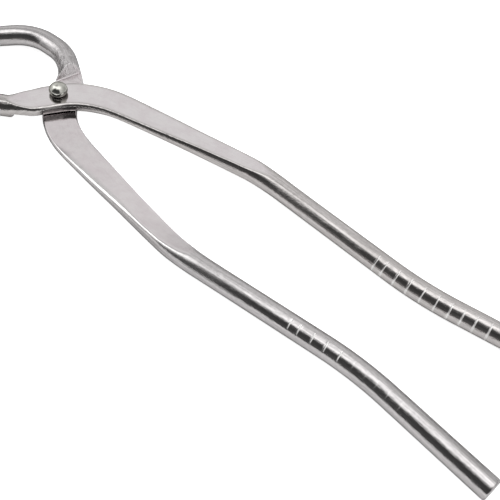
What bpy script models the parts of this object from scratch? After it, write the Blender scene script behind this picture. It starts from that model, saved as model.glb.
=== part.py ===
"""Crucible tongs: two forged round-bar arms that cross at one domed rivet.

Metres, +Z up.  The tongs lie flat on the plane z = 0.  The rivet's axis is the
Z axis, the handles run towards +X and the jaws towards -X.
"""

import math

import bmesh
import bpy
from mathutils import Matrix, Vector

MM = 0.001

# ---- sizes in millimetres -------------------------------------------------
BAR_RADIUS = 4.0              # the round bar both arms are forged from
FLAT_DEPTH = 3.8              # outer flat at the crossing, from the bar's centre
REST_HALF_ANGLE = 2.0         # degrees each arm is turned open from tips-closed

# Centre line of one arm with the tips closed: corner x, corner y and the radius
# it is bent to.  Heights are counted from the centre of the bar.
TIP_OFFSET = 3.3              # beak centre line, beside the plane where the tips meet
TIP_RISE_ANGLE = 48.0         # degrees the beak curls up out of the plane
TIP_RISE_RADIUS = 26.0
TIP_CORNER_X = -70.0
TIP_LAST_LENGTH = 25.0
BEAK_BEND = (-47.6, TIP_OFFSET, 9.0)
BOW_FRONT = (-36.3, 18.9, 17.0)
BOW_BACK = (-15.0, 19.8, 19.0)
PIVOT_BEND = (7.1, -9.2, 30.0)
HANDLE_SHOULDER = (82.8, -20.9, 60.0)
HANDLE_WAIST = (153.2, -13.9, 130.0)
HANDLE_END = (204.9, -19.1)

# Forged sections, one row per station along the centre line: distance from
# the rivet (jaws negative), half width, side shift, height of the widest
# level, height of the upper crown, curvature of the lower side, lower flat.
SECTIONS = (
    (-104.0, 2.6, -0.9, 0.0, 2.6, 2.6, -2.6),
    (-96.0, 3.2, -0.4, 0.0, 3.3, 3.3, -3.3),
    (-66.0, 3.8, 0.0, 0.0, 3.9, 3.9, -3.9),
    (-52.0, 4.2, 0.0, 0.0, 4.0, 4.0, -4.0),
    (-34.0, 4.5, 0.0, 0.0, 4.0, 4.0, -4.0),
    (-22.0, 4.3, 0.05, 0.0, 4.0, 4.0, -4.0),
    (-19.5, 4.3, 0.3, -0.1, 4.0, 3.9, -4.0),
    (-17.5, 4.5, 0.65, -0.55, 4.0, 3.6, -FLAT_DEPTH),
    (-14.5, 5.05, 1.25, -1.3, 4.0, 3.3, -FLAT_DEPTH),
    (-10.5, 5.95, 1.6, -1.8, 4.0, 2.85, -FLAT_DEPTH),
    (-5.0, 6.4, 1.1, -1.97, 3.0, 2.65, -FLAT_DEPTH),
    (5.0, 6.5, 0.5, -1.97, 3.0, 2.65, -FLAT_DEPTH),
    (16.0, 6.35, 0.25, -1.97, 2.0, 2.65, -FLAT_DEPTH),
    (28.0, 6.0, -0.3, -1.9, 0.35, 2.7, -FLAT_DEPTH),
    (45.0, 5.45, -0.35, -1.55, 0.85, 3.05, -FLAT_DEPTH),
    (60.0, 4.9, -0.35, -0.95, 2.0, 3.7, -3.85),
    (72.0, 4.68, -0.25, -0.4, 3.05, 4.35, -3.93),
    (80.0, 4.5, -0.1, -0.2, 3.55, 4.5, -3.96),
    (92.0, 4.15, 0.0, 0.0, 3.9, 4.05, -4.0),
    (110.0, 4.05, 0.0, 0.0, 4.0, 4.0, -4.0),
    (214.0, 4.05, 0.0, 0.0, 4.0, 4.0, -4.0),
)

# Where the upper half of the lower arm is forged away so the arms can cross.
LAP_CLEARANCE = 0.15          # mating face below the middle plane
SHOULDER_POINT = (-8.2, 10.6)
SHOULDER_DIRECTION = 77.0    # degrees, the line where the shoulder meets the flat
SHOULDER_SLOPE = 62.0         # degrees, steepness of the shoulder face
CUTTER_REACH = 30.0
RUN_OUT_REACH = 9.0           # how far the run-out is cleared to either side
CUTTER_TOP = 10.0
SHOULDER_RISE = 9.0           # height the shoulder face is cut up to

# Run-out of the lap along the handle: distance from the rivet, height above
# the centre line, fall towards the inner side for each millimetre across.
RUN_OUT = (
    (24.0, -LAP_CLEARANCE, 0.0),
    (45.0, 0.3, 0.1),
    (60.0, 1.05, 0.2),
    (72.0, 1.6, 0.27),
    (80.0, 2.15, 0.31),
    (88.0, 3.1, 0.3),
    (96.0, 4.8, 0.2),
)

# The struck side is squarer than round: distance from the rivet and the power
# of the outline, where 1 is an ellipse, smaller is squarer, larger a ridge.
ROUND = ((0.0, 1.0), (1.0, 1.0))
REAR_STRUCK = (
    (-25.0, 1.0),
    (-18.0, 1.5),              # ridged at the jaw's root
    (-8.0, 1.5),
    (5.0, 1.0),
    (25.0, 0.4),
    (45.0, 0.35),
    (80.0, 0.35),
    (97.0, 1.0),
)
FRONT_STRUCK = ((-19.0, 1.0), (-14.0, 0.5), (5.0, 0.65), (80.0, 0.65), (97.0, 1.0))

# Finger grip: shallow cross nicks on each handle, struck by hand.
NICK_GAPS = (3.5, 5.1, 5.0, 5.2, 5.2, 4.9, 4.4, 4.6, 5.0)
NICK_HALF_WIDTH = 0.45
NICK_DEPTH = 0.25
FAINT_NICK = 0.4              # share of the depth left in the faint ones

# What differs between the arms: the way the tip curls, the struck side, and
# the nicks' first distance, middle and reach around the bar in degrees.
REAR_SHAPE = {
    "lift": 1.0,
    "upper": REAR_STRUCK,
    "lower": ROUND,
    "nick_start": 132.6,
    "nick_middle": 121.0,
    "nick_reach": 40.0,
    "nick_deep": 5,
}
FRONT_SHAPE = {
    "lift": -1.0,
    "upper": ROUND,
    "lower": FRONT_STRUCK,
    "nick_start": 139.5,
    "nick_middle": -24.0,
    "nick_reach": 62.0,
    "nick_deep": 10,
}

# Gripping faces at the tips.
GRIP_FACE_Y = 0.15            # where the beak is cut flat, beside the closing plane
GRIP_FACE_START = -45.0

# Rivet.
HOLE_RADIUS = 2.6
SHANK_RADIUS = 2.5
HEAD_RADIUS = 3.5
HEAD_HALF_HEIGHT = 2.75
HEAD_CENTRE_RISE = 1.4        # widest level above the seat of the head
HEAD_GAP = 0.1
TAIL_RADIUS = 4.0
TAIL_DEPTH = 1.5
TAIL_CLEARANCE = 0.1
SINK_INSET = 0.4              # how far the countersink's cutter ends inside the hole

# Ends of an arm: how far the end bulges, and the share its rim is rounded in.
TIP_END = (2.2, 1.0)
HANDLE_CAP = (0.9, 0.22)

# Mesh fineness.
RING_POINTS = 24
BEND_STEP = 7.0               # degrees of bend between two rings
STRAIGHT_STEP = 14.0
SMALLEST_STEP = 0.4           # rings closer than this are merged
SEARCH_STEP = 0.1
END_STEPS = 4
FIRST_END_STEP = 0.4          # keeps the cap's first ring off the axis
ROUND_STEPS = 40
RIVET_STEPS = 10
SHARP_ANGLE = 32.0            # degrees between faces that stay a crisp edge


def clear_scene():
    for obj in list(bpy.data.objects):
        bpy.data.objects.remove(obj, do_unlink=True)


def steel(name, colour, roughness):
    material = bpy.data.materials.new(name)
    material.use_nodes = True
    shader = material.node_tree.nodes["Principled BSDF"]
    shader.inputs["Base Color"].default_value = (*colour, 1.0)
    shader.inputs["Metallic"].default_value = 1.0
    shader.inputs["Roughness"].default_value = roughness
    return material


def centre_line(lift):
    """Straight and bent pieces from the tip to the handle end, lengths last."""
    rise = math.radians(TIP_RISE_ANGLE)
    tip = Vector((
        TIP_CORNER_X - TIP_LAST_LENGTH * math.cos(rise),
        TIP_OFFSET,
        lift * TIP_LAST_LENGTH * math.sin(rise),
    ))
    corners = [
        (tip, 0.0),
        (Vector((TIP_CORNER_X, TIP_OFFSET, 0.0)), TIP_RISE_RADIUS),
    ]
    for x, y, radius in (BEAK_BEND, BOW_FRONT, BOW_BACK, PIVOT_BEND, HANDLE_SHOULDER, HANDLE_WAIST):
        corners.append((Vector((x, y, 0.0)), radius))
    corners.append((Vector((*HANDLE_END, 0.0)), 0.0))

    pieces = []
    last = tip
    for index in range(1, len(corners) - 1):
        corner, radius = corners[index]
        inward = (corner - corners[index - 1][0]).normalized()
        outward = (corners[index + 1][0] - corner).normalized()
        turn = inward.angle(outward)
        reach = radius * math.tan(turn / 2.0)
        start = corner - inward * reach
        toward = (outward - inward * inward.dot(outward)).normalized()
        pieces.append(("line", last, inward, None, 0.0, (start - last).length))
        pieces.append(("arc", start, inward, toward, radius, radius * turn))
        last = corner + outward * reach
    end = corners[-1][0]
    pieces.append(("line", last, (end - last).normalized(), None, 0.0, (end - last).length))
    return pieces


def walk(pieces, distance):
    """Point and direction at a distance from the tip."""
    for kind, start, direction, toward, radius, length in pieces:
        if distance <= length:
            break
        distance -= length
    if kind == "line":
        return start + direction * distance, direction
    angle = distance / radius
    sideways = toward * (radius * (1.0 - math.cos(angle)))
    point = start + direction * (radius * math.sin(angle)) + sideways
    return point, direction * math.cos(angle) + toward * math.sin(angle)


def total_length(pieces):
    return sum(piece[-1] for piece in pieces)


def smooth_slopes(rows):
    """How fast each number changes at each row, without overshooting."""
    slopes = [[0.0] * (len(rows[0]) - 1) for row in rows]
    for index in range(1, len(rows) - 1):
        before, here, after = rows[index - 1:index + 2]
        for column in range(1, len(here)):
            grade_in = (here[column] - before[column]) / (here[0] - before[0])
            grade_out = (after[column] - here[column]) / (after[0] - here[0])
            if grade_in * grade_out > 0.0:
                slopes[index][column - 1] = 2.0 * grade_in * grade_out / (grade_in + grade_out)
    return slopes


def smooth_row(rows, station):
    """Numbers at a distance from the rivet, on a smooth curve through the rows."""
    slopes = smooth_slopes(rows)
    place = 1
    while place < len(rows) - 1 and rows[place][0] < station:
        place += 1
    span = rows[place][0] - rows[place - 1][0]
    t = min(max((station - rows[place - 1][0]) / span, 0.0), 1.0)
    blend = t * t * (3.0 - 2.0 * t)
    values = []
    for column in range(len(rows[0]) - 1):
        near, far = rows[place - 1][column + 1], rows[place][column + 1]
        value = near + (far - near) * blend
        value += slopes[place - 1][column] * span * t * (1.0 - t) ** 2
        value -= slopes[place][column] * span * t * t * (1.0 - t)
        values.append(value)
    return values


def squareness(rows, station):
    """Power of the outline at a distance from the rivet."""
    if station <= rows[0][0]:
        return rows[0][1]
    for before, after in zip(rows, rows[1:]):
        if station <= after[0]:
            return before[1] + (after[1] - before[1]) * (station - before[0]) / (after[0] - before[0])
    return rows[-1][1]


def nick_depths(shape):
    """Distance from the rivet and depth of every nick on one arm."""
    depths = []
    centre = shape["nick_start"]
    for index in range(len(NICK_GAPS) + 1):
        faint = 1.0 if index < shape["nick_deep"] else FAINT_NICK
        depths.append((centre, NICK_DEPTH * faint))
        centre += NICK_GAPS[min(index, len(NICK_GAPS) - 1)]
    return depths


def ring(point, direction, station, shape, shrink, nick):
    """One closed section of the arm as a list of points."""
    half_width, shift, level, crown, lower, flat = smooth_row(SECTIONS, station)
    side = Vector((-direction.y, direction.x, 0.0)).normalized()
    up = direction.cross(side)
    points = []
    for index in range(RING_POINTS):
        angle = 2.0 * math.pi * (index + 0.5) / RING_POINTS
        across = half_width * math.cos(angle)
        if math.sin(angle) > 0.0:
            bulge = math.sin(angle) ** squareness(shape["upper"], station)
            height = level + (crown - level) * bulge
        else:
            bulge = (-math.sin(angle)) ** squareness(shape["lower"], station)
            height = max(level - lower * bulge, flat)
        if nick > 0.0:
            away = (math.degrees(angle) - shape["nick_middle"] + 180.0) % 360.0 - 180.0
            depth = nick * max(0.0, 1.0 - (away / shape["nick_reach"]) ** 2)
            across -= depth * math.cos(angle)
            height -= depth * math.sin(angle)
        spot = point + side * (shift + across * shrink)
        spot += up * (level + (height - level) * shrink)
        if spot.x < GRIP_FACE_START and station < 0.0:
            spot.y = max(spot.y, GRIP_FACE_Y)
        points.append(spot)
    return points


def distance_to_rivet(pieces):
    """Distance from the tip to the point of the centre line nearest the rivet."""
    steps = [index * SEARCH_STEP for index in range(int(total_length(pieces) / SEARCH_STEP))]
    return min(steps, key=lambda step: walk(pieces, step)[0].to_2d().length)


def ring_marks(pieces, origin, shape):
    """Distances from the tip where rings go, each with the depth of a nick there."""
    total = total_length(pieces)
    marks = [(0.0, 0.0), (total, 0.0)]
    travelled = 0.0
    for kind, start, direction, toward, radius, length in pieces:
        step = STRAIGHT_STEP if kind == "line" else radius * math.radians(BEND_STEP)
        count = max(1, math.ceil(length / step))
        for index in range(count):
            marks.append((travelled + length * index / count, 0.0))
        travelled += length
    for row in SECTIONS[1:-1]:
        marks.append((row[0] + origin, 0.0))
    nicks = [(centre + origin, depth) for centre, depth in nick_depths(shape)]
    for centre, depth in nicks:
        marks = [mark for mark in marks if abs(mark[0] - centre) > 2.0 * NICK_HALF_WIDTH]
    for centre, depth in nicks:
        marks.append((centre - NICK_HALF_WIDTH, 0.0))
        marks.append((centre, depth))
        marks.append((centre + NICK_HALF_WIDTH, 0.0))
    marks.sort()
    kept = [marks[0]]
    for mark in marks[1:]:
        if mark[0] - kept[-1][0] > SMALLEST_STEP:
            kept.append(mark)
    kept[-1] = (total, 0.0)
    return kept


def end_rings(point, outward, direction, station, shape, end):
    """Rounded end of the bar, from its outermost ring inwards."""
    bulge, rounding = end
    rings = []
    for index in range(END_STEPS):
        angle = 0.5 * math.pi * (index + FIRST_END_STEP) / END_STEPS
        shrink = 1.0 - rounding * (1.0 - math.sin(angle))
        spot = point + outward * (bulge * math.cos(angle))
        rings.append(ring(spot, direction, station, shape, shrink, 0.0))
    return rings


def arm_mesh(name, shape):
    """One arm before it is turned to its place, in millimetres."""
    pieces = centre_line(shape["lift"])
    origin = distance_to_rivet(pieces)
    last = total_length(pieces) - 1e-6
    tip, tip_direction = walk(pieces, 0.0)
    end, end_direction = walk(pieces, last)
    rings = end_rings(tip, -tip_direction, tip_direction, -origin, shape, TIP_END)
    for distance, nick in ring_marks(pieces, origin, shape):
        point, direction = walk(pieces, min(distance, last))
        rings.append(ring(point, direction, distance - origin, shape, 1.0, nick))
    rings += reversed(end_rings(end, end_direction, end_direction, last - origin, shape, HANDLE_CAP))
    return lofted_mesh(name, rings)


def lofted_mesh(name, rings, flat_faces=False):
    """Closed mesh through rings that all have the same number of points."""
    mesh = bmesh.new()
    rows = [[mesh.verts.new(spot) for spot in row] for row in rings]
    for near, far in zip(rows, rows[1:]):
        for index in range(len(near)):
            following = (index + 1) % len(near)
            mesh.faces.new((near[index], near[following], far[following], far[index]))
    mesh.faces.new(list(reversed(rows[0])))
    mesh.faces.new(rows[-1])
    if flat_faces:
        bmesh.ops.triangulate(mesh, faces=mesh.faces)
    bmesh.ops.recalc_face_normals(mesh, faces=mesh.faces)
    data = bpy.data.meshes.new(name)
    mesh.to_mesh(data)
    mesh.free()
    return data


def turned_mesh(name, profile):
    """Closed solid of revolution about Z from (radius, height) pairs, bottom to top."""
    rings = []
    for radius, height in profile:
        row = []
        for index in range(ROUND_STEPS):
            angle = 2.0 * math.pi * index / ROUND_STEPS
            row.append((radius * math.cos(angle), radius * math.sin(angle), height))
        rings.append(row)
    return lofted_mesh(name, rings)


def lap_cutter(name):
    """Clears the upper half of the arm at the crossing and runs out along the handle."""
    floor = -LAP_CLEARANCE
    shoulder = math.radians(SHOULDER_DIRECTION)
    back = Vector((-math.sin(shoulder), math.cos(shoulder), 0.0))
    slope = math.tan(math.radians(SHOULDER_SLOPE))
    foot = []
    for y in (-CUTTER_REACH, CUTTER_REACH):
        x = SHOULDER_POINT[0] + (y - SHOULDER_POINT[1]) * math.cos(shoulder) / math.sin(shoulder)
        foot.append(Vector((x, y, floor)))
    lean_back = back * (SHOULDER_RISE / slope) + Vector((0.0, 0.0, SHOULDER_RISE))
    rows = [[spot + lean_back for spot in foot], foot]

    pieces = centre_line(1.0)
    origin = distance_to_rivet(pieces)
    for station, height, lean in RUN_OUT:
        point, direction = walk(pieces, origin + station)
        side = Vector((-direction.y, direction.x, 0.0)).normalized()
        row = []
        for across in (-RUN_OUT_REACH, RUN_OUT_REACH):
            row.append(point + side * across + Vector((0.0, 0.0, height - lean * across)))
        rows.append(row)

    rings = []
    for near, far in rows:
        top = [Vector((far.x, far.y, CUTTER_TOP)), Vector((near.x, near.y, CUTTER_TOP))]
        rings.append([near, far] + top)
    return hidden_cutter(name, lofted_mesh(name, rings, flat_faces=True))


def sink_cutter(name):
    """Countersink in the rear arm's outer flat that takes the rivet's tail."""
    rim = TAIL_RADIUS + TAIL_CLEARANCE
    profile = (
        (rim + TAIL_RADIUS - SHANK_RADIUS, -BAR_RADIUS - TAIL_DEPTH),
        (HOLE_RADIUS - SINK_INSET, -BAR_RADIUS + TAIL_DEPTH + SINK_INSET + TAIL_CLEARANCE),
    )
    return hidden_cutter(name, turned_mesh(name, profile))


def add_object(name, data):
    obj = bpy.data.objects.new(name, data)
    bpy.context.scene.collection.objects.link(obj)
    return obj


def hidden_cutter(name, data):
    obj = add_object(name, data)
    obj.hide_render = True
    obj.display_type = "WIRE"
    return obj


def cut(obj, cutter):
    modifier = obj.modifiers.new(cutter.name, "BOOLEAN")
    modifier.operation = "DIFFERENCE"
    modifier.solver = "EXACT"
    modifier.object = cutter


def shade(obj, material):
    obj.data.materials.append(material)
    for polygon in obj.data.polygons:
        polygon.use_smooth = True
    obj.data.set_sharp_from_angle(angle=math.radians(SHARP_ANGLE))


def place_arm(name, material, front):
    """One arm: swept bar, lap cut and rivet hole, turned to its rest angle."""
    obj = add_object(name, arm_mesh(name, FRONT_SHAPE if front else REAR_SHAPE))
    hole = turned_mesh(name + "_hole_cutter", ((HOLE_RADIUS, -CUTTER_TOP), (HOLE_RADIUS, CUTTER_TOP)))
    cutters = [lap_cutter(name + "_lap_cutter"), hidden_cutter(name + "_hole_cutter", hole)]
    if not front:
        cutters.append(sink_cutter(name + "_sink_cutter"))
    turn = Matrix.Rotation(math.radians(-REST_HALF_ANGLE), 4, "Z")
    flip = Matrix.Rotation(math.pi, 4, "X") if front else Matrix.Identity(4)
    lifted = Matrix.Translation((0.0, 0.0, BAR_RADIUS))
    scale = Matrix.Scale(MM, 4)
    for piece in [obj] + cutters:
        piece.data.transform(scale @ lifted @ flip @ turn)
    for cutter in cutters:
        cut(obj, cutter)
    shade(obj, material)


def rivet(material):
    """Dome-headed rivet with its tail formed flush into the rear arm."""
    face = BAR_RADIUS + FLAT_DEPTH + HEAD_GAP
    centre = face + HEAD_CENTRE_RISE
    profile = [
        (TAIL_RADIUS, 0.0),
        (SHANK_RADIUS, TAIL_DEPTH),
        (SHANK_RADIUS, face),
    ]
    start = -math.asin(HEAD_CENTRE_RISE / HEAD_HALF_HEIGHT)
    for index in range(RIVET_STEPS):
        angle = start + (0.5 * math.pi - start) * index / RIVET_STEPS
        profile.append((HEAD_RADIUS * math.cos(angle), centre + HEAD_HALF_HEIGHT * math.sin(angle)))
    data = turned_mesh("pivot_rivet", profile)
    data.transform(Matrix.Scale(MM, 4))
    shade(add_object("pivot_rivet", data), material)


def main():
    clear_scene()
    rear_steel = steel("rear_arm_steel", (0.60, 0.59, 0.57), 0.16)
    front_steel = steel("front_arm_steel", (0.62, 0.61, 0.59), 0.16)
    rivet_steel = steel("rivet_steel", (0.58, 0.57, 0.54), 0.12)
    place_arm("rear_arm", rear_steel, front=False)
    place_arm("front_arm", front_steel, front=True)
    rivet(rivet_steel)


main()
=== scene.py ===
"""Crucible tongs in polished stainless steel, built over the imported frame.

Lengths are millimetres until a mesh is finished, then metres.  Both arms are
made as the lower one, in the position where the tips touch; the upper arm is
then rolled over about the long axis.
"""

import math

import bpy
import numpy as np
from mathutils import Matrix, Quaternion, Vector


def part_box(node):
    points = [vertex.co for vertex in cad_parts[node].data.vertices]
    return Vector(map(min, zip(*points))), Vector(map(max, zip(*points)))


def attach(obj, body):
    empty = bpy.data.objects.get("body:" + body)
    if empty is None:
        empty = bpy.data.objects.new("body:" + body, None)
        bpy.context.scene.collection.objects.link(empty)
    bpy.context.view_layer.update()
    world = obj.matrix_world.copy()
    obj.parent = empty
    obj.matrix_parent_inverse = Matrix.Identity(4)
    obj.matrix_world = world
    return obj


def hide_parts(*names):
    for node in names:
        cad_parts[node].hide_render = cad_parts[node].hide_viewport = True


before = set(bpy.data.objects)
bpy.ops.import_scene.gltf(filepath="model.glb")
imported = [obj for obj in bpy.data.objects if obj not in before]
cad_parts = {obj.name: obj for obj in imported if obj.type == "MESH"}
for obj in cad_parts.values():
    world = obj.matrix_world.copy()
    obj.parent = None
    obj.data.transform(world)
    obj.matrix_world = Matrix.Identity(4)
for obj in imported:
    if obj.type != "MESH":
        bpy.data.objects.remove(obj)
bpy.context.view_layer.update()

MM = 0.001

# ---- arms: sizes in millimetres -------------------------------------------
BAR_RADIUS = 4.0
FLAT_DEPTH = 3.8               # outer flat at the crossing, from the bar's centre
POLISH = 0.06                  # metal the polishing takes off the forged size
REST_HALF_ANGLE = 2.0          # degrees each arm is turned open from tips-closed

# Centre line of one arm, tips closed: corner x, corner y, bend radius.
TIP_OFFSET = 3.3
TIP_RISE_ANGLE = 48.0
TIP_RISE_RADIUS = 26.0
TIP_CORNER_X = -70.0
TIP_LAST_LENGTH = 25.0
BENDS = (
    (-47.6, TIP_OFFSET, 9.0),  # beak into bow
    (-36.3, 18.9, 17.0),       # front of the bow
    (-15.0, 19.8, 19.0),       # back of the bow
    (7.1, -9.2, 30.0),         # at the rivet
    (82.8, -20.9, 60.0),       # handle shoulder
    (153.2, -13.9, 130.0),     # handle waist
)
HANDLE_END = (204.9, -19.1)

# Forged sections: distance from the rivet (jaws negative), half width, side
# shift, widest level, upper crown, curvature of the lower side, lower flat.
SECTIONS = (
    (-104.0, 2.6, -0.9, 0.0, 2.6, 2.6, -2.6),
    (-96.0, 3.2, -0.4, 0.0, 3.3, 3.3, -3.3),
    (-66.0, 3.8, 0.0, 0.0, 3.9, 3.9, -3.9),
    (-52.0, 4.2, 0.0, 0.0, 4.0, 4.0, -4.0),
    (-34.0, 4.5, 0.0, 0.0, 4.0, 4.0, -4.0),
    (-22.0, 4.3, 0.05, 0.0, 4.0, 4.0, -4.0),
    (-19.5, 4.3, 0.3, -0.1, 4.0, 3.9, -4.0),
    (-17.5, 4.5, 0.65, -0.55, 4.0, 3.6, -FLAT_DEPTH),
    (-14.5, 5.05, 1.25, -1.3, 4.0, 3.3, -FLAT_DEPTH),
    (-10.5, 5.95, 1.6, -1.8, 4.0, 2.85, -FLAT_DEPTH),
    (-5.0, 6.4, 1.1, -1.97, 3.0, 2.65, -FLAT_DEPTH),
    (5.0, 6.5, 0.5, -1.97, 3.0, 2.65, -FLAT_DEPTH),
    (16.0, 6.35, 0.25, -1.97, 2.0, 2.65, -FLAT_DEPTH),
    (28.0, 6.0, -0.3, -1.9, 0.35, 2.7, -FLAT_DEPTH),
    (45.0, 5.45, -0.35, -1.55, 0.85, 3.05, -FLAT_DEPTH),
    (60.0, 4.9, -0.35, -0.95, 2.0, 3.7, -3.85),
    (72.0, 4.68, -0.25, -0.4, 3.05, 4.35, -3.93),
    (80.0, 4.5, -0.1, -0.2, 3.55, 4.5, -3.96),
    (92.0, 4.15, 0.0, 0.0, 3.9, 4.05, -4.0),
    (110.0, 4.05, 0.0, 0.0, 4.0, 4.0, -4.0),
    (214.0, 4.05, 0.0, 0.0, 4.0, 4.0, -4.0),
)

# The lap, where the upper half is forged away so that the arms can cross.
LAP_FLOOR = -0.15
SHOULDER_POINT = (-8.2, 10.6)
SHOULDER_DIRECTION = 77.0      # degrees, the line where the shoulder meets the lap
SHOULDER_SLOPE = 62.0          # degrees, steepness of the shoulder face

# Run-out of the lap: distance from the rivet, height above the centre line,
# and how much it falls per millimetre towards the inner side.
RUN_OUT = (
    (24.0, LAP_FLOOR, 0.0),
    (45.0, 0.3, 0.1),
    (60.0, 1.05, 0.2),
    (72.0, 1.6, 0.27),
    (80.0, 2.15, 0.31),
    (88.0, 3.1, 0.3),
    (96.0, 4.8, 0.2),
)

# The struck side is squarer than round: distance from the rivet and the power
# of the outline, where 1 is an ellipse, smaller is squarer, larger a ridge.
ROUND = ((0.0, 1.0), (1.0, 1.0))
REAR_STRUCK = (
    (-25.0, 1.0),
    (-18.0, 1.5),              # ridged at the jaw's root
    (-8.0, 1.5),
    (5.0, 1.0),
    (25.0, 0.4),
    (45.0, 0.35),
    (80.0, 0.35),
    (97.0, 1.0),
)
FRONT_STRUCK = ((-19.0, 1.0), (-14.0, 0.65), (80.0, 0.65), (97.0, 1.0))

EDGE_ROUNDING = 0.24           # how far the outer face's edges are broken
LAP_EDGE_ROUNDING = 0.45       # the lap's own edges are softer
FOOT_ROUNDING = 0.35           # hollow at the foot of the shoulder

# Finger nicks, struck by hand and so unevenly spaced.
NICK_GAPS = (3.5, 5.1, 5.0, 5.2, 5.2, 4.9, 4.4, 4.6, 5.0)
NICK_HALF_WIDTH = 0.27
NICK_DEPTH = 0.16
NICK_SPAN = 2.0                # half widths from its middle to where a nick's burr ends
NICK_FADE = 0.6                # power of the fading round the bar; smaller ends sharper
FAINT_NICK = 0.15              # share of the depth left in the faint ones
BRIGHT_NICK = 0.6              # share of the depth from which a nick's painted highlight and roughness are full
BURR_HEIGHT = 0.8 * POLISH
BURR_PLACE = 1.25              # half widths from the nick's middle
BURR_WIDTH = 0.25

# What differs between the arms: the way the tip curls, the outlines of both
# sides, and the nicks: where the first is, their middle and reach round the
# bar in degrees, and how many of them are deep.
REAR_SHAPE = {
    "lift": 1.0,
    "upper": REAR_STRUCK,
    "lower": ROUND,
    "nick_start": 132.6,
    "nick_middle": 121.0,
    "nick_reach": 30.0,
    "nick_deep": 5,
}
FRONT_SHAPE = {
    "lift": -1.0,
    "upper": ROUND,
    "lower": FRONT_STRUCK,
    "nick_start": 139.5,
    "nick_middle": -24.0,
    "nick_reach": 62.0,
    "nick_deep": 10,
}

# Gripping faces at the tips.
GRIP_FACE_Y = 0.15             # beside the plane where the tips meet
GRIP_FACE_START = -45.0

# Ends of an arm: how far the end bulges, and the share its rim is rounded in.
TIP_END = (2.2, 1.0)
HANDLE_CAP = (0.85, 0.22)

# ---- marks on the arms ----------------------------------------------------
GROUND_BLEND = 0.5             # depth over which the lap's ground face begins
LOWER_BLEND = 0.3              # the same for the outer flat
SLIGHTEST_FLAT = 0.02          # an outer flat shallower than this isn't ground

# Painted highlight: where the upper side is squared, its outer corner is painted
# bright where it tilts this much, in degrees.
CORNER_HIGHLIGHT_TILT = 22.0
CORNER_HIGHLIGHT_SPREAD = 13.0
CORNER_HIGHLIGHT_SQUARENESS = 0.6        # fully painted bright where the outline's power is 1 less this
ROOT_HIGHLIGHT = 0.55              # painted highlight on the lap's edge towards the jaw
ROOT_HIGHLIGHT_WIDTH = 0.22

# Hammer-marked skin at the jaw's root, with painted dark reflections on it, by distance from the
# rivet.
FORGED_MIDDLE = -19.0
FORGED_REACH = 9.0

# Skin scuffed dull where the handle becomes round.
SCUFFED_MIDDLE = 98.0
SCUFFED_REACH = 16.0

MASKS = ("ground", "edge", "struck", "forged", "scuffed")

# ---- rivet ----------------------------------------------------------------
TAIL_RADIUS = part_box("pivot_rivet")[1].x / MM
HOLE_RADIUS = 2.6
HOLE_CUT = (-9.0, 18.0)        # lowest and highest level of the hole's cutter
SHANK_RADIUS = 2.5
HEAD_RADIUS = 3.5
HEAD_HALF_HEIGHT = 2.75
HEAD_CENTRE_RISE = 1.4         # widest level above the seat of the head
HEAD_GAP = 0.1
FACE_HEIGHT = BAR_RADIUS + FLAT_DEPTH
HEAD_SEAT = FACE_HEIGHT + HEAD_GAP
HEAD_CENTRE = HEAD_SEAT + HEAD_CENTRE_RISE
TAIL_DEPTH = 1.5
TAIL_CLEARANCE = 0.1
TAIL_ROUNDING = 0.15           # how far the tail's rim is rounded over
TAIL_RIM = 0.3                 # share of that, in and up, where the rim is widest
SINK_INSET = 0.4               # how far the countersink's cutter ends inside the hole

# ---- mesh fineness --------------------------------------------------------
TOP_POINTS = 74
LOWER_POINTS = 46
OUTLINE_STEPS = 420
TURN_WEIGHT = 0.5              # share of the points that goes to the corners
CAP_STEPS = 9
FIRST_CAP_STEP = 0.1           # keeps a cap's first ring off its axis
ROUND_STEPS = 96
HEAD_STEPS = 30
SEARCH_STEP = 0.1
UV_UNIT = 10.0                 # millimetres to one unit of the surface map
ARM_SHARP_ANGLE = 40.0         # degrees between faces that stay a crisp edge
RIVET_SHARP_ANGLE = 50.0

# Distance from one ring of an arm to the next, and where each distance holds.
NICK_STEP = 0.08
BETWEEN_NICKS_STEP = 0.45
ROOT_STEP = 0.4
BEND_STEP = 0.9                # along the jaw and the lap's run-out
HANDLE_STEP = 1.3
NICK_MARGINS = (1.5, 2.0)      # before the first nick and after the last one
NICK_LOOK_AHEAD = 0.1
ROOT_SPAN = (-26.0, 4.0)       # the jaw's root and the shoulder
HANDLE_START = 80.0

# ---- finish of the arms ---------------------------------------------------
# The bar where it is bright and where it is dull, the ground flats, and how
# strongly the forging still shows, painted dark reflections at the jaw's root included.
REAR_FINISH = {
    "bright": (0.585, 0.565, 0.565),
    "dull": (0.51, 0.492, 0.492),
    "satin": (0.63, 0.595, 0.60),
    "dented": 0.9,
}
FRONT_FINISH = {
    "bright": (0.585, 0.56, 0.55),
    "dull": (0.51, 0.485, 0.475),
    "satin": (0.66, 0.632, 0.637),
    "dented": 0.12,
}
TARNISH_TINT = (0.925, 0.895, 0.91)    # what tarnish leaves of a flat's colour
# Painted highlight on the squared corners.
CORNER_HIGHLIGHT_COLOUR = (0.97, 0.96, 0.95)
# Painted highlight in the nicks.
NICK_HIGHLIGHT_COLOUR = (0.96, 0.95, 0.94)
DARK_REFLECTION_COLOUR = (0.12, 0.11, 0.115)
ARM_SHEEN = (0.45, 0.45, 0.45)         # colour of the reflection at a slant

# What the bar's dark marks and its painted shade at a slant leave of its dull colour.
STREAK_SHADE = 0.6
GRAIN_SHADE = 0.55
PAINTED_SLANT_SHADE = 0.45                     # painted shade on the bar's sides, seen at a slant

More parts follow.
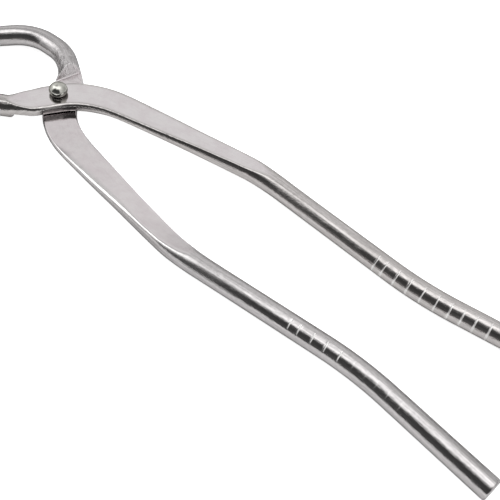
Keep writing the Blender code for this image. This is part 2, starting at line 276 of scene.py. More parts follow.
# How strongly each mark covers the colour under it, from 0 to 1.
FACE_SHARE = 0.9
STREAK_SHARE = 0.7
GRAIN_SHARE = 0.36
PAINTED_SLANT_SHARE = 0.6
CORNER_HIGHLIGHT_SHARE = 0.9
NICK_HIGHLIGHT_SHARE = 0.85
DARK_REFLECTION_SHARE = 0.6
MARKS_ON_FACE = 0.12                   # share of the bar's marks left on the flats
RELIEF_ON_FACE = 0.1                   # and of their relief
DARK_REFLECTION_LIMIT = 0.6                      # no painted dark reflections where the steel is ground this far

BAR_ROUGHNESS = (0.07, 0.15)
FACE_ROUGHNESS = (0.055, 0.12)
CLOUD_ROUGHNESS = (-0.015, 0.03)
NICK_ROUGHNESS = 0.3
SCUFFED_ROUGHNESS = 0.16

# Relief: strength, and depth in millimetres.
RIPPLE_RELIEF = (0.3, 0.6)
DENT_DEPTH = 0.6
DRAWN_RELIEF = (0.45, 0.1)
GRAIN_RELIEF = (0.4, 0.12)
BELT_RELIEF = (0.08, 0.06)
FINE_SPECK_RELIEF = (0.12, 0.03)
SPECK_RELIEF = (0.05, 0.03)

# Patterns that follow the bar: stretch along it, around it and through it,
# then the noise's scale, detail and roughness.
BAR_PATTERNS = {
    "drawn": ((0.22, 11.0, 1.0), (1.6, 5.0, 0.7)),     # streaks of the drawn bar
    "belt": ((0.9, 22.0, 1.0), (2.4, 6.0, 0.7)),       # grinding lines on the flats
    "grain": ((3.2, 8.0, 1.0), (1.8, 3.0, 0.6)),       # short grain
    "scale": ((0.35, 1.0, 1.0), (9.0, 4.0, 0.65)),     # painted dark reflections at the jaw's root
    "dents": ((0.5, 1.0, 1.0), (7.0, 3.0, 0.6)),       # hammer marks there
}
# Patterns with no direction: the noise alone.
EVEN_PATTERNS = {
    "clouds": (95.0, 3.0, 0.5),
    "tarnish": (160.0, 4.0, 0.65),
    "ripple": (130.0, 2.0, 0.4),
    "specks": (900.0, 2.0, 0.6),
    "fine_specks": (1500.0, 2.0, 0.7),
}
# Values of the noise between which a pattern goes from nothing to its full share.
CLOUD_RANGE = (0.3, 0.7)
SPOT_RANGE = (0.42, 0.68)
STREAK_RANGE = (0.38, 0.7)
DARK_REFLECTION_RANGE = (0.52, 0.66)
POLISH_RANGE = (0.25, 0.8)
SLANT_RANGE = (0.6, 1.0)               # the same for how far a surface is turned away

# ---- finish of the rivet --------------------------------------------------
RIVET_BRIGHT = (0.60, 0.595, 0.555)
RIVET_DULL = (0.38, 0.375, 0.345)
RIVET_PAINTED_RIM_SHADE = (0.12, 0.12, 0.105)    # painted shade on the head's rim, seen at a slant
RIVET_UNDER_SHADE = (0.07, 0.065, 0.06)    # painted shade low on the head
RIVET_SHADE_TOP = HEAD_CENTRE + 0.6
RIVET_SHEEN = (0.5, 0.5, 0.48)
RIVET_RIM_SHADE_SHARE = 0.75
RIVET_SLANT_RANGE = (0.45, 0.9)
RIVET_UNDER_SHADE_SHARE = 0.95
RIVET_ROUGHNESS = (0.05, 0.12)
RIVET_POLISH_RANGE = (0.3, 0.75)
RIVET_CLOUD_RELIEF = (0.25, 0.3)
RIVET_RING_RELIEF = (0.08, 0.04)
RIVET_CLOUDS = (420.0, 3.0, 0.55)
RIVET_RINGS = ((0.2, 0.2, 6.0), (900.0, 3.0, 0.6))     # stretch, then the noise

# ---- studio ---------------------------------------------------------------
FLOOR_HALF_SIZE = 4000.0
FLOOR_DROP = 0.2               # gap that keeps the floor off the tongs' flat back
FLOOR_GRAIN = (300.0, 2.0, 0.5)
FLOOR_COLOURS = ((0.93, 0.93, 0.93), (0.96, 0.96, 0.96))
FLOOR_ROUGHNESS = 0.9
FLOOR_GLOW = 0.22
FLOOR_LIFT = 0.6               # extra glow where the floor itself is looked at

# Brightness of the studio: height above the horizon in degrees, and level.
STUDIO_STRENGTH = 2.0
STUDIO_BACK = ((-14.0, 0.34), (8.0, 0.40), (30.0, 0.52), (52.0, 0.5), (63.0, 0.62), (72.0, 1.02))
# Sides that differ from it: degrees from +X, how far the side reaches in full,
# where it ends, and its own brightness.
STUDIO_SIDES = (
    (160.0, 18.0, 34.0,
     ((8.0, 0.44), (32.0, 0.5), (44.0, 0.5), (54.0, 0.28), (66.0, 0.4), (80.0, 1.0))),
    (-162.0, 14.0, 26.0,
     ((8.0, 0.42), (30.0, 0.52), (42.0, 1.02), (54.0, 1.02), (64.0, 0.75), (76.0, 1.02))),
    (50.0, 20.0, 50.0,
     ((-8.0, 0.24), (14.0, 0.27), (32.0, 0.34), (46.0, 0.46), (60.0, 0.68), (72.0, 1.02))),
    (-74.0, 43.0, 62.0,
     ((-12.0, 0.3), (4.0, 0.06), (48.0, 0.035), (62.0, 0.08), (74.0, 0.6), (80.0, 1.02))),
)

CAMERA_AZIMUTH = 31.19         # degrees, looking from +Y round towards -X
CAMERA_ELEVATION = 51.62
CAMERA_ROLL = 9.62
CAMERA_AIM = (98.7, -6.1, BAR_RADIUS)
CAMERA_DISTANCE = 289.7
CAMERA_CLIP = 10.0
CAMERA_LENS = 61.3
SENSOR_WIDTH = 36.0


# ---- arm geometry ---------------------------------------------------------
def centre_line(lift):
    """Straight and bent pieces from the tip to the handle end, lengths last.

    The lift is +1 or -1 for the way the tip curls.
    """
    rise = math.radians(TIP_RISE_ANGLE)
    tip = Vector((
        TIP_CORNER_X - TIP_LAST_LENGTH * math.cos(rise),
        TIP_OFFSET,
        lift * TIP_LAST_LENGTH * math.sin(rise),
    ))
    corners = [(Vector((TIP_CORNER_X, TIP_OFFSET, 0.0)), TIP_RISE_RADIUS)]
    for x, y, radius in BENDS:
        corners.append((Vector((x, y, 0.0)), radius))
    end = Vector((*HANDLE_END, 0.0))
    spots = [tip] + [corner for corner, radius in corners] + [end]

    pieces = []
    last = tip
    for index, (corner, radius) in enumerate(corners):
        inward = (corner - spots[index]).normalized()
        outward = (spots[index + 2] - corner).normalized()
        turn = inward.angle(outward)
        reach = radius * math.tan(turn / 2.0)
        start = corner - inward * reach
        toward = (outward - inward * inward.dot(outward)).normalized()
        pieces.append(("line", last, inward, None, 0.0, (start - last).length))
        pieces.append(("arc", start, inward, toward, radius, radius * turn))
        last = corner + outward * reach
    pieces.append(("line", last, (end - last).normalized(), None, 0.0, (end - last).length))
    return pieces


def walk(pieces, distance):
    """Point and direction at a distance from the tip."""
    for kind, start, direction, toward, radius, length in pieces:
        if distance <= length:
            break
        distance -= length
    if kind == "line":
        return start + direction * distance, direction
    angle = distance / radius
    sideways = toward * (radius * (1.0 - math.cos(angle)))
    point = start + direction * (radius * math.sin(angle)) + sideways
    return point, direction * math.cos(angle) + toward * math.sin(angle)


def distance_to_rivet(pieces, total):
    """Distance from the tip to the point of the centre line nearest the rivet."""
    steps = np.arange(0.0, total, SEARCH_STEP)
    away = [walk(pieces, step)[0].to_2d().length for step in steps]
    return float(steps[int(np.argmin(away))])


def smooth_table(rows):
    """Rows, and how fast each number changes at each row, without overshooting."""
    rows = np.array(rows)
    grade = np.diff(rows[:, 1:], axis=0) / np.diff(rows[:, 0])[:, None]
    slopes = np.zeros_like(rows[:, 1:])
    before, after = grade[:-1], grade[1:]
    same_way = before * after > 0.0
    slopes[1:-1][same_way] = 2.0 * (before * after)[same_way] / (before + after)[same_way]
    return rows, slopes


def smooth_row(table, station):
    """Numbers at a distance from the rivet, on a smooth curve through the rows."""
    rows, slopes = table
    place = int(np.clip(np.searchsorted(rows[:, 0], station), 1, len(rows) - 1))
    span = rows[place, 0] - rows[place - 1, 0]
    t = float(np.clip((station - rows[place - 1, 0]) / span, 0.0, 1.0))
    near, far = rows[place - 1, 1:], rows[place, 1:]
    near_slope, far_slope = slopes[place - 1] * span, slopes[place] * span
    blend = t * t * (3.0 - 2.0 * t)
    return near + (far - near) * blend + near_slope * t * (1 - t) ** 2 - far_slope * t * t * (1 - t)


# Worked out once, since every ring asks for them.
SECTION_TABLE = smooth_table(SECTIONS)
RUN_OUT_TABLE = smooth_table(RUN_OUT)


def squareness(rows, station):
    """Power of the outline at a distance from the rivet."""
    return float(np.interp(station, [row[0] for row in rows], [row[1] for row in rows]))


def soft_min(a, b, width):
    """The lower of two values, rounded over where they are about equal."""
    blend = np.clip(0.5 + 0.5 * (b - a) / width, 0.0, 1.0)
    return b + (a - b) * blend - width * blend * (1.0 - blend)


def soft_max(a, b, width):
    return -soft_min(-a, -b, width)


def lap_height(x, y, across, station):
    """Height the lap leaves above the centre line, at points across the bar."""
    shoulder = math.radians(SHOULDER_DIRECTION)
    along, beside = SHOULDER_POINT[0] - x, SHOULDER_POINT[1] - y
    past_foot = along * math.sin(shoulder) - beside * math.cos(shoulder)
    rise = past_foot * math.tan(math.radians(SHOULDER_SLOPE))
    floor, lean = smooth_row(RUN_OUT_TABLE, station)
    return floor - lean * across + soft_max(rise, np.zeros_like(rise), FOOT_ROUNDING)


def outline(point, side, station, section, shape):
    """Upper and lower halves of one section, and how deep each is cut flat."""
    half_width, shift, level, crown, lower, flat = section
    bulge = np.clip(np.sin(np.linspace(0.0, math.pi, OUTLINE_STEPS)), 0.0, 1.0)
    over = level + (crown - POLISH - level) * bulge ** squareness(shape["upper"], station)
    under = level - lower * bulge ** squareness(shape["lower"], station)
    flattened = flat > -lower + level + SLIGHTEST_FLAT
    below_flat = flat - under if flattened else np.zeros(OUTLINE_STEPS)

    angle = np.linspace(0.0, math.pi, OUTLINE_STEPS)
    across = shift + (half_width - POLISH) * np.cos(angle)
    under = soft_max(under, np.full(OUTLINE_STEPS, flat + POLISH), EDGE_ROUNDING)
    under = np.minimum(under, level)
    lap = lap_height(point.x + side.x * across, point.y + side.y * across, across, station) - POLISH
    top = np.maximum(soft_min(over, lap, LAP_EDGE_ROUNDING), under)
    if station < 0.0 and point.x < GRIP_FACE_START:
        face = np.full(OUTLINE_STEPS, (GRIP_FACE_Y + POLISH - point.y) / side.y)
        across = soft_max(across, face, EDGE_ROUNDING)
    return across, top, under, over - lap, below_flat


def spread(across, height, count):
    """Places along an outline, closer together where it turns."""
    run, climb = np.diff(across), np.diff(height)
    length = np.hypot(run, climb)
    heading = np.unwrap(np.arctan2(climb, run))
    turning = np.abs(np.diff(heading, prepend=heading[0]))
    measure = (1.0 - TURN_WEIGHT) * length / length.sum()
    measure += TURN_WEIGHT * turning / max(turning.sum(), 1e-6)
    total = np.concatenate(([0.0], np.cumsum(measure)))
    wanted = np.linspace(0.0, total[-1], count + 1)
    return np.interp(wanted, total, np.arange(len(total)))


def pick(values, places):
    return np.interp(places, np.arange(len(values)), values)


def painted_corner_highlight(across, top, depth_cut, station, shape, places):
    """Painted highlight on the corners of the upper side, from 0 to 1."""
    if station < 0.0:
        return ROOT_HIGHLIGHT * np.exp(-(pick(depth_cut, places) / ROOT_HIGHLIGHT_WIDTH) ** 2)
    tilt = np.degrees(np.arctan(np.abs(np.gradient(top) / np.gradient(across))))
    beside_lap = np.clip(0.5 - depth_cut / GROUND_BLEND, 0.0, 1.0)
    corner = np.exp(-((tilt - CORNER_HIGHLIGHT_TILT) / CORNER_HIGHLIGHT_SPREAD) ** 2) * beside_lap * (across < 0.0)
    square = np.clip((1.0 - squareness(shape["upper"], station)) / CORNER_HIGHLIGHT_SQUARENESS, 0.0, 1.0)
    return square * pick(corner, places)


def press_nick(wide, high, shift, level, nick, shape):
    """Presses a nick into a section, and says how strongly each point is struck."""
    around = np.degrees(np.arctan2(high - level, wide - shift))
    away = (around - shape["nick_middle"] + 180.0) % 360.0 - 180.0
    fade = np.clip(1.0 - (away / shape["nick_reach"]) ** 2, 0.0, 1.0) ** NICK_FADE
    pull = 1.0 - nick * fade / np.hypot(wide - shift, high - level)
    wide = shift + (wide - shift) * pull
    high = level + (high - level) * pull
    return wide, high, fade * min(abs(nick) / (BRIGHT_NICK * NICK_DEPTH), 1.0)


def ring(point, direction, station, shape, shrink=1.0, nick=0.0):
    """One closed section: its points, and how far each is ground, painted with an edge highlight or
    struck.
    """
    side = Vector((-direction.y, direction.x, 0.0)).normalized()
    up = direction.cross(side)
    section = smooth_row(SECTION_TABLE, station)
    shift, level = section[1], section[2]
    across, top, under, depth_cut, below_flat = outline(point, side, station, section, shape)

    upper_places = spread(across, top, TOP_POINTS)[:-1]
    lower_places = spread(across[::-1], under[::-1], LOWER_POINTS)[:-1]
    wide = np.concatenate((pick(across, upper_places), pick(across[::-1], lower_places)))
    high = np.concatenate((pick(top, upper_places), pick(under[::-1], lower_places)))
    ground = np.concatenate((
        np.clip(pick(depth_cut, upper_places) / GROUND_BLEND + 0.5, 0.0, 1.0),
        np.clip(pick(below_flat[::-1], lower_places) / LOWER_BLEND, 0.0, 1.0),
    ))
    # Painted highlight on the upper side's corners.
    edge = painted_corner_highlight(across, top, depth_cut, station, shape, upper_places)
    edge = np.concatenate((edge, np.zeros(len(lower_places))))
    struck = np.zeros(len(wide))
    if nick:
        wide, high, struck = press_nick(wide, high, shift, level, nick, shape)

    wide = shift + (wide - shift) * shrink
    high = level + (high - level) * shrink
    points = np.array(point) + np.outer(wide, np.array(side)) + np.outer(high, np.array(up))
    return points, ground, edge, struck


def nick_profile(away):
    """Depth of a nick beside its middle, with the burr the punch raises."""
    share = np.abs(away) / NICK_HALF_WIDTH
    groove = NICK_DEPTH * np.clip(1.0 - share, 0.0, 1.0)
    burr = BURR_HEIGHT * math.exp(-((share - BURR_PLACE) / BURR_WIDTH) ** 2)
    return float(groove - burr)


def nick_depth(station, shape):
    """Depth at a distance from the rivet; the later nicks are fainter."""
    first = shape["nick_start"]
    middles = [first + sum(NICK_GAPS[:count]) for count in range(len(NICK_GAPS) + 1)]
    nearest = min(range(len(middles)), key=lambda index: abs(station - middles[index]))
    away = station - middles[nearest]
    if abs(away) >= NICK_SPAN * NICK_HALF_WIDTH:
        return 0.0
    strength = 1.0 if nearest < shape["nick_deep"] else FAINT_NICK
    return strength * nick_profile(away)


def ring_spacing(station, shape):
    """Distance to the next ring: short where the surface changes quickly."""
    before, after = NICK_MARGINS
    first = shape["nick_start"]
    if first - before < station < first + sum(NICK_GAPS) + after:
        return NICK_STEP if nick_depth(station + NICK_LOOK_AHEAD, shape) else BETWEEN_NICKS_STEP
    if ROOT_SPAN[0] < station < ROOT_SPAN[1]:
        return ROOT_STEP
    return BEND_STEP if station < HANDLE_START else HANDLE_STEP


def end_rings(point, direction, outward, station, shape, end):
    """Rounded end of the bar, each ring with its station, from the outermost inwards."""
    bulge, rounding = end
    rings = []
    for index in range(CAP_STEPS):
        angle = 0.5 * math.pi * (index + FIRST_CAP_STEP) / CAP_STEPS
        shrink = 1.0 - rounding * (1.0 - math.sin(angle))
        spot = point + outward * (bulge * math.cos(angle))
        rings.append((ring(spot, direction, station, shape, shrink), station))
    return rings


def arm_rings(shape):
    """Every section of an arm with its station, the tip and the handle end included."""
    pieces = centre_line(shape["lift"])
    total = sum(piece[-1] for piece in pieces)
    rivet_at = distance_to_rivet(pieces, total)
    point, direction = walk(pieces, 0.0)
    rings = end_rings(point, direction, -direction, -rivet_at, shape, TIP_END)
    distance = ring_spacing(-rivet_at, shape)
    while distance < total:
        station = distance - rivet_at
        point, direction = walk(pieces, distance)
        section = ring(point, direction, station, shape, nick=nick_depth(station, shape))
        rings.append((section, station))
        distance += ring_spacing(station, shape)
    last = total - 1e-6
    point, direction = walk(pieces, last)
    rings += reversed(end_rings(point, direction, direction, last - rivet_at, shape, HANDLE_CAP))
    return rings


def band_faces(rows, count):
    """Faces between closed rings that all have the same number of points."""
    faces = []
    for row in range(rows - 1):
        for column in range(count):
            following = (column + 1) % count
            a, b = row * count + column, row * count + following
            faces.append((a, b, b + count, a + count))
    return faces


def fan_faces(rows, count):
    """Faces from the first and the last ring to a middle point each, taken in turn."""
    tip, end = rows * count, rows * count + 1
    last = (rows - 1) * count
    faces = []
    for column in range(count):
        following = (column + 1) % count
        faces.append((following, column, tip))
        faces.append((last + column, last + following, end))
    return faces


def near_station(along, middle, reach, count):
    """Mask that fades out on both sides of a distance from the rivet."""
    return np.exp(-((along - middle) / reach) ** 2)[:, None] * np.ones(count)


def arm_mesh(name, shape):
    """The whole arm as one closed mesh, with its surface map and masks."""
    sections, stations = zip(*arm_rings(shape))
    points, ground, edge, struck = (np.array(values) for values in zip(*sections))
    along = np.array(stations)
    rows, count = ground.shape
    vertices = np.concatenate((points.reshape(-1, 3), [points[0].mean(0), points[-1].mean(0)]))
    data = bpy.data.meshes.new(name)
    data.from_pydata(vertices.tolist(), [], band_faces(rows, count) + fan_faces(rows, count))

    forged = near_station(along, FORGED_MIDDLE, FORGED_REACH, count)
    scuffed = near_station(along, SCUFFED_MIDDLE, SCUFFED_REACH, count)
    for label, values in zip(MASKS, (ground, edge, struck, forged, scuffed)):
        layer = data.attributes.new(label, "FLOAT", "POINT")
        ends = [1.0, 1.0] if label == "ground" else [0.0, 0.0]
        layer.data.foreach_set("value", np.concatenate((values.ravel(), ends)).astype(np.float32))
    map_surface(data, points, along)
    return data


def map_surface(data, points, along):
    """Surface map: first value runs along the bar, second around it."""
    rows, count = points.shape[:2]
    steps = np.linalg.norm(np.roll(points, -1, axis=1) - points, axis=2)
    girth = np.concatenate((np.zeros((rows, 1)), np.cumsum(steps, axis=1)), axis=1)
    values = []
    for row in range(rows - 1):
        for column in range(count):
            for r, c in ((0, 0), (0, 1), (1, 1), (1, 0)):
                values += (along[row + r] / UV_UNIT, girth[row + r, column + c] / UV_UNIT)
    for column in range(count):
        for station in (along[0], along[-1]):
            for c in (column, column + 1, column):
                values += (station / UV_UNIT, girth[0, c] / UV_UNIT)
    data.uv_layers.new(name="surface").data.foreach_set("uv", values)


# ---- pieces ---------------------------------------------------------------
def turned_mesh(name, profile):
    """Closed solid of revolution about Z from (radius, height) pairs, bottom to top."""
    vertices = []
    for radius, height in profile:
        for index in range(ROUND_STEPS):
            angle = 2.0 * math.pi * index / ROUND_STEPS
            vertices.append((radius * math.cos(angle), radius * math.sin(angle), height))
    faces = band_faces(len(profile), ROUND_STEPS)
    faces.append(tuple(range(ROUND_STEPS))[::-1])
    faces.append(tuple(range(len(vertices) - ROUND_STEPS, len(vertices))))
    data = bpy.data.meshes.new(name)
    data.from_pydata(vertices, [], faces)
    return data


def add_object(data, material=None):
    obj = bpy.data.objects.new(data.name, data)
    bpy.context.scene.collection.objects.link(obj)
    if material:
        data.materials.append(material)
    return obj


def cut(obj, cutters):
    """Takes the cutters out of the object for good."""
    for cutter in cutters:
        modifier = obj.modifiers.new(cutter.name, "BOOLEAN")
        modifier.operation = "DIFFERENCE"
        modifier.solver = "EXACT"
        modifier.object = cutter
    graph = bpy.context.evaluated_depsgraph_get()
    result = bpy.data.meshes.new_from_object(obj.evaluated_get(graph), depsgraph=graph)
    obj.modifiers.clear()
    obj.data = result
    for cutter in cutters:
        bpy.data.objects.remove(cutter)


def smooth(obj, angle):
    for polygon in obj.data.polygons:
        polygon.use_smooth = True
    obj.data.set_sharp_from_angle(angle=math.radians(angle))


def arm(name, body, material, shape, front):
    """One arm with its rivet hole, turned to its rest angle."""
    data = arm_mesh(name + "_visual", shape)
    turn = Matrix.Rotation(math.radians(-REST_HALF_ANGLE), 4, "Z")
    flip = Matrix.Rotation(math.pi, 4, "X") if front else Matrix.Identity(4)
    lifted = Matrix.Translation((0.0, 0.0, BAR_RADIUS))
    data.transform(Matrix.Scale(MM, 4) @ lifted @ flip @ turn)
    obj = add_object(data, material)

    hole = [(HOLE_RADIUS, height) for height in HOLE_CUT]
    cutters = [add_object(turned_mesh(name + "_hole", hole))]
    if not front:
        rim = TAIL_RADIUS + TAIL_CLEARANCE + TAIL_RADIUS - SHANK_RADIUS
        inner_end = (HOLE_RADIUS - SINK_INSET, TAIL_DEPTH + SINK_INSET + TAIL_CLEARANCE)
        sink = ((rim, -TAIL_DEPTH), inner_end)
        cutters.append(add_object(turned_mesh(name + "_sink", sink)))
    for cutter in cutters:
        cutter.data.transform(Matrix.Scale(MM, 4))
    cut(obj, cutters)
    smooth(obj, ARM_SHARP_ANGLE)
    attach(obj, body)
    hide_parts(name)


def rivet(material):
    """Dome-headed rivet with its tail formed flush into the rear arm."""
    rim = TAIL_RIM * TAIL_ROUNDING
    profile = [
        (TAIL_RADIUS - TAIL_ROUNDING, 0.0),
        (TAIL_RADIUS - rim, rim),
        (TAIL_RADIUS - TAIL_ROUNDING, TAIL_ROUNDING),
        (SHANK_RADIUS, TAIL_DEPTH),
        (SHANK_RADIUS, HEAD_SEAT),
    ]
    start = math.asin((HEAD_SEAT - HEAD_CENTRE) / HEAD_HALF_HEIGHT)
    for index in range(HEAD_STEPS):
        angle = start + (0.5 * math.pi - start) * (index + 0.5) / HEAD_STEPS
        height = HEAD_CENTRE + HEAD_HALF_HEIGHT * math.sin(angle)
        profile.append((HEAD_RADIUS * math.cos(angle), height))
    data = turned_mesh("pivot_rivet_visual", profile)
    data.transform(Matrix.Scale(MM, 4))
    obj = add_object(data, material)
    smooth(obj, RIVET_SHARP_ANGLE)
    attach(obj, "rear_half")
    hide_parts("pivot_rivet")


# ---- materials ------------------------------------------------------------
class Nodes:
    """Small helper that adds and joins shader nodes."""

    def __init__(self, tree):
        self.tree = tree

    def add(self, kind, **settings):
        node = self.tree.nodes.new("ShaderNode" + kind)
        for key, value in settings.items():
            setattr(node, key, value)
        return node

    def join(self, source, target):
        self.tree.links.new(source, target)

    def attribute(self, name):
        return self.add("Attribute", attribute_name=name).outputs["Fac"]

    def noise(self, vector, scale, detail, rough):
        node = self.add("TexNoise")
        node.inputs["Scale"].default_value = scale
        node.inputs["Detail"].default_value = detail
        node.inputs["Roughness"].default_value = rough
        self.join(vector, node.inputs["Vector"])
        return node.outputs["Fac"]

    def stretched(self, vector, scale):
        node = self.add("Mapping")
        node.inputs["Scale"].default_value = scale
        self.join(vector, node.inputs["Vector"])
        return node.outputs["Vector"]

    def spread(self, value, low, high, new_low, new_high):
        """A value moved from one range to another, and kept within it."""
        node = self.add("MapRange")
        numbers = {"From Min": low, "From Max": high, "To Min": new_low, "To Max": new_high}
        for key, number in numbers.items():
            node.inputs[key].default_value = number
        self.join(value, node.inputs["Value"])
        return node.outputs["Result"]

    def height(self, vector):
        node = self.add("SeparateXYZ")
        self.join(vector, node.inputs["Vector"])
        return node.outputs["Z"]

    def slant(self):
        """How far the surface is turned away from the view, from 0 to 1."""
        return self.add("LayerWeight").outputs["Facing"]

    def feed(self, value, slot):
        """Sets a plain value on a socket, or joins a node's output to it."""
        if isinstance(value, float):
            slot.default_value = value
        elif isinstance(value, tuple):
            slot.default_value = (*value, 1.0)
        else:
            self.join(value, slot)

    def combined(self, operation, first, second):
        node = self.add("Math", operation=operation)
        self.feed(first, node.inputs[0])
        self.feed(second, node.inputs[1])
        return node.outputs["Value"]

    def plus(self, first, second):
        return self.combined("ADD", first, second)

    def times(self, first, second):
        return self.combined("MULTIPLY", first, second)

    def tint(self, share, first, second):
        """One colour turning into another by a share from 0 to 1."""
        node = self.add("Mix", data_type="RGBA")
        self.join(share, node.inputs["Factor"])
        self.feed(first, node.inputs[6])
        self.feed(second, node.inputs[7])
        return node.outputs[2]

    def relief(self, layers):
        """Bumps over one another: height, strength and depth in millimetres."""
        normal = None
        for height, strength, depth in layers:
            node = self.add("Bump")
            node.inputs["Strength"].default_value = strength
            node.inputs["Distance"].default_value = depth * MM
            self.join(height, node.inputs["Height"])
            if normal:
                self.join(normal, node.inputs["Normal"])
            normal = node.outputs["Normal"]
        return normal


def new_material(name, metallic):
    material = bpy.data.materials.new(name)
    material.use_nodes = True
    shader = material.node_tree.nodes["Principled BSDF"]
    shader.inputs["Metallic"].default_value = metallic
    return material, Nodes(material.node_tree), shader


def shaded(colour, share):
    return tuple(share * channel for channel in colour)


def arm_patterns(nodes):
    """Masks and patterns that an arm's colour, roughness and relief share."""
    surface = nodes.add("UVMap", uv_map="surface").outputs["UV"]
    place = nodes.add("TexCoord").outputs["Object"]
    look = {label: nodes.attribute(label) for label in MASKS}
    for label, (stretch, noise) in BAR_PATTERNS.items():
        look[label] = nodes.noise(nodes.stretched(surface, stretch), *noise)
    for label, noise in EVEN_PATTERNS.items():
        look[label] = nodes.noise(place, *noise)
    return look


def off_ground(nodes, look, left, limit=1.0):
    """1 on the bar, falling to what is left on the ground faces."""
    return nodes.spread(look["ground"], 0.0, limit, 1.0, left)


def arm_colour(nodes, look, finish):
    """Streaked bar, tarnished flats, painted highlights on edges and nicks, painted dark
    reflections at the jaw's root.
    """
    dull, satin = finish["dull"], finish["satin"]
    clouds = nodes.spread(look["clouds"], *CLOUD_RANGE, 0.0, 1.0)
    tarnish = nodes.spread(look["tarnish"], *SPOT_RANGE, 0.0, 1.0)
    face = nodes.tint(tarnish, satin, tuple(c * t for c, t in zip(satin, TARNISH_TINT)))
    colour = nodes.tint(clouds, dull, finish["bright"])
    colour = nodes.tint(nodes.times(look["ground"], FACE_SHARE), colour, face)

    on_bar = off_ground(nodes, look, MARKS_ON_FACE)
    streak = nodes.times(nodes.spread(look["drawn"], *STREAK_RANGE, 0.0, STREAK_SHARE), on_bar)
    colour = nodes.tint(streak, colour, shaded(dull, STREAK_SHADE))
    grain = nodes.times(nodes.spread(look["grain"], *SPOT_RANGE, 0.0, GRAIN_SHARE), on_bar)
    colour = nodes.tint(grain, colour, shaded(dull, GRAIN_SHADE))
    # Painted shade: the bar darkened where its sides are seen at a slant.
    slant = nodes.spread(nodes.slant(), *SLANT_RANGE, 0.0, PAINTED_SLANT_SHARE)
    colour = nodes.tint(slant, colour, shaded(dull, PAINTED_SLANT_SHADE))

    # Painted highlight: near-white lines where the upper corners tilt towards the light.
    colour = nodes.tint(nodes.times(look["edge"], CORNER_HIGHLIGHT_SHARE), colour, CORNER_HIGHLIGHT_COLOUR)
    # Painted highlight: the nicks painted near white.
    colour = nodes.tint(nodes.times(look["struck"], NICK_HIGHLIGHT_SHARE), colour, NICK_HIGHLIGHT_COLOUR)
    # Painted dark reflections: dark patches at the jaw's root, off the ground faces.
    scale = nodes.spread(look["scale"], *DARK_REFLECTION_RANGE, 0.0, DARK_REFLECTION_SHARE * finish["dented"])
    scale = nodes.times(scale, look["forged"])
    scale = nodes.times(scale, off_ground(nodes, look, 0.0, DARK_REFLECTION_LIMIT))
    return nodes.tint(scale, colour, DARK_REFLECTION_COLOUR)


def arm_roughness(nodes, look, finish):
    """Bar and flats each with their own polish, duller in the nicks and where scuffed."""
    bar = nodes.spread(look["drawn"], *POLISH_RANGE, *BAR_ROUGHNESS)
    face = nodes.spread(look["belt"], *POLISH_RANGE, *FACE_ROUGHNESS)
    clouds = nodes.spread(look["clouds"], *CLOUD_RANGE, *CLOUD_ROUGHNESS)
    rough = nodes.times(bar, off_ground(nodes, look, 0.0))
    rough = nodes.plus(rough, nodes.times(face, look["ground"]))
    rough = nodes.plus(rough, clouds)
    rough = nodes.plus(rough, nodes.times(look["struck"], NICK_ROUGHNESS))
    return nodes.plus(rough, nodes.times(look["scuffed"], SCUFFED_ROUGHNESS * finish["dented"]))


def arm_relief(nodes, look, finish):
    """Ripple and hammer dents, streaks and grain on the bar, grinding on the flats."""
    ground = look["ground"]
    on_bar = off_ground(nodes, look, RELIEF_ON_FACE)
    return nodes.relief((
        (look["ripple"], *RIPPLE_RELIEF),
        (nodes.times(look["dents"], look["forged"]), finish["dented"], DENT_DEPTH),
        (nodes.times(look["drawn"], on_bar), *DRAWN_RELIEF),
        (nodes.times(look["grain"], on_bar), *GRAIN_RELIEF),
        (nodes.times(look["belt"], ground), *BELT_RELIEF),
        (nodes.times(look["fine_specks"], ground), *FINE_SPECK_RELIEF),
        (look["specks"], *SPECK_RELIEF),
    ))


def arm_steel(name, finish):
    """Polished bar with satin ground faces, and painted highlights on its edges and nicks."""
    material, nodes, shader = new_material(name, 1.0)
    look = arm_patterns(nodes)
    nodes.join(arm_colour(nodes, look, finish), shader.inputs["Base Color"])
    nodes.join(arm_roughness(nodes, look, finish), shader.inputs["Roughness"])
    nodes.join(arm_relief(nodes, look, finish), shader.inputs["Normal"])
    nodes.feed(ARM_SHEEN, shader.inputs["Specular Tint"])
    return material


def rivet_steel():
    """Warm grey steel, hammered round and buffed, with painted shade low on the head and on its
    rim.
    """
    material, nodes, shader = new_material("rivet_ball_steel", 1.0)
    place = nodes.add("TexCoord").outputs["Object"]
    clouds = nodes.noise(place, *RIVET_CLOUDS)
    stretch, noise = RIVET_RINGS
    rings = nodes.noise(nodes.stretched(place, stretch), *noise)
    colour = nodes.tint(nodes.spread(clouds, *CLOUD_RANGE, 0.0, 1.0), RIVET_DULL, RIVET_BRIGHT)
    # Painted shade: the head's rim darkened where seen at a slant.
    slant = nodes.spread(nodes.slant(), *RIVET_SLANT_RANGE, 0.0, RIVET_RIM_SHADE_SHARE)
    colour = nodes.tint(slant, colour, RIVET_PAINTED_RIM_SHADE)
    # Painted shade: the head darkened from the face up to just above its widest level.
    levels = (FACE_HEIGHT * MM, RIVET_SHADE_TOP * MM)
    under_shade = nodes.spread(nodes.height(place), *levels, RIVET_UNDER_SHADE_SHARE, 0.0)
    nodes.join(nodes.tint(under_shade, colour, RIVET_UNDER_SHADE), shader.inputs["Base Color"])
    rough = nodes.spread(clouds, *RIVET_POLISH_RANGE, *RIVET_ROUGHNESS)
    nodes.join(rough, shader.inputs["Roughness"])
    relief = nodes.relief(((clouds, *RIVET_CLOUD_RELIEF), (rings, *RIVET_RING_RELIEF)))
    nodes.join(relief, shader.inputs["Normal"])
    nodes.feed(RIVET_SHEEN, shader.inputs["Specular Tint"])
    return material


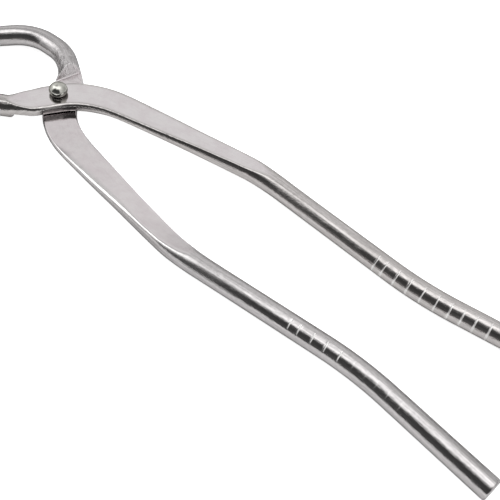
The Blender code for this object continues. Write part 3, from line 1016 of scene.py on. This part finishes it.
# ---- floor, light and camera ----------------------------------------------
def studio_floor():
    """Plain white sweep that the tongs lie on."""
    size = FLOOR_HALF_SIZE * MM
    corners = [(-size, -size, 0.0), (size, -size, 0.0), (size, size, 0.0), (-size, size, 0.0)]
    data = bpy.data.meshes.new("studio_floor")
    data.from_pydata(corners, [], [(0, 1, 2, 3)])
    material, nodes, shader = new_material("white_sweep", 0.0)
    grain = nodes.noise(nodes.add("TexCoord").outputs["Object"], *FLOOR_GRAIN)
    nodes.join(nodes.tint(grain, *FLOOR_COLOURS), shader.inputs["Base Color"])
    shader.inputs["Roughness"].default_value = FLOOR_ROUGHNESS
    shader.inputs["Specular IOR Level"].default_value = 0.0
    shader.inputs["Emission Color"].default_value = (1.0, 1.0, 1.0, 1.0)
    seen = nodes.add("LightPath").outputs["Is Camera Ray"]
    glow = nodes.spread(seen, 0.0, 1.0, FLOOR_GLOW, FLOOR_GLOW + FLOOR_LIFT)
    nodes.join(glow, shader.inputs["Emission Strength"])
    floor = add_object(data, material)
    floor.location.z = -FLOOR_DROP * MM


def ramp(nodes, height, stops):
    """Grey level by height above the horizon; the height runs from 0 below to 1 above."""
    node = nodes.add("ValToRGB")
    node.color_ramp.interpolation = "EASE"
    elements = node.color_ramp.elements
    for index, (elevation, level) in enumerate(stops):
        place = 0.5 + 0.5 * math.sin(math.radians(elevation))
        element = elements[index] if index < 2 else elements.new(place)
        element.position = place
        element.color = (level, level, level, 1.0)
    nodes.join(height, node.inputs["Fac"])
    return node.outputs["Color"]


def facing(nodes, heading, side, inner, outer):
    """1 within the inner angle of a side, 0 beyond the outer one."""
    turn = math.radians(side)
    aim = nodes.add("VectorMath", operation="DOT_PRODUCT")
    aim.inputs[1].default_value = (math.cos(turn), math.sin(turn), 0.0)
    nodes.join(heading, aim.inputs[0])
    near, far = math.cos(math.radians(inner)), math.cos(math.radians(outer))
    return nodes.spread(aim.outputs["Value"], far, near, 0.0, 1.0)


def studio_world():
    """White tent: bright above, light walls, and a dark opening at one side."""
    world = bpy.data.worlds.new("studio")
    bpy.context.scene.world = world
    world.use_nodes = True
    nodes = Nodes(world.node_tree)
    direction = nodes.add("TexCoord").outputs["Generated"]
    height = nodes.spread(nodes.height(direction), -1.0, 1.0, 0.0, 1.0)
    flat = nodes.add("VectorMath", operation="MULTIPLY")
    flat.inputs[1].default_value = (1.0, 1.0, 0.0)
    nodes.join(direction, flat.inputs[0])
    level = nodes.add("VectorMath", operation="NORMALIZE")
    nodes.join(flat.outputs["Vector"], level.inputs[0])
    heading = level.outputs["Vector"]

    colour = ramp(nodes, height, STUDIO_BACK)
    for side, inner, outer, stops in STUDIO_SIDES:
        share = facing(nodes, heading, side, inner, outer)
        colour = nodes.tint(share, colour, ramp(nodes, height, stops))
    background = world.node_tree.nodes["Background"]
    nodes.join(colour, background.inputs["Color"])
    background.inputs["Strength"].default_value = STUDIO_STRENGTH


def add_camera():
    """Looks down on the crossed arms from the handle side."""
    azimuth, elevation = math.radians(CAMERA_AZIMUTH), math.radians(CAMERA_ELEVATION)
    look = Vector((
        -math.sin(azimuth) * math.cos(elevation),
        math.cos(azimuth) * math.cos(elevation),
        -math.sin(elevation),
    ))
    data = bpy.data.cameras.new("camera")
    data.lens = CAMERA_LENS
    data.sensor_width = SENSOR_WIDTH
    data.clip_start = CAMERA_CLIP * MM
    camera = add_object(data)
    roll = Quaternion((0.0, 0.0, 1.0), math.radians(CAMERA_ROLL))
    camera.rotation_euler = (look.to_track_quat("-Z", "Y") @ roll).to_euler()
    camera.location = Vector(CAMERA_AIM) * MM - look * (CAMERA_DISTANCE * MM)
    bpy.context.scene.camera = camera


def main():
    bpy.context.scene.view_settings.view_transform = "Standard"
    rear_steel = arm_steel("rear_arm_polished", REAR_FINISH)
    front_steel = arm_steel("front_arm_polished", FRONT_FINISH)
    arm("rear_arm", "rear_half", rear_steel, REAR_SHAPE, front=False)
    arm("front_arm", "front_half", front_steel, FRONT_SHAPE, front=True)
    rivet(rivet_steel())
    studio_floor()
    studio_world()
    add_camera()


main()
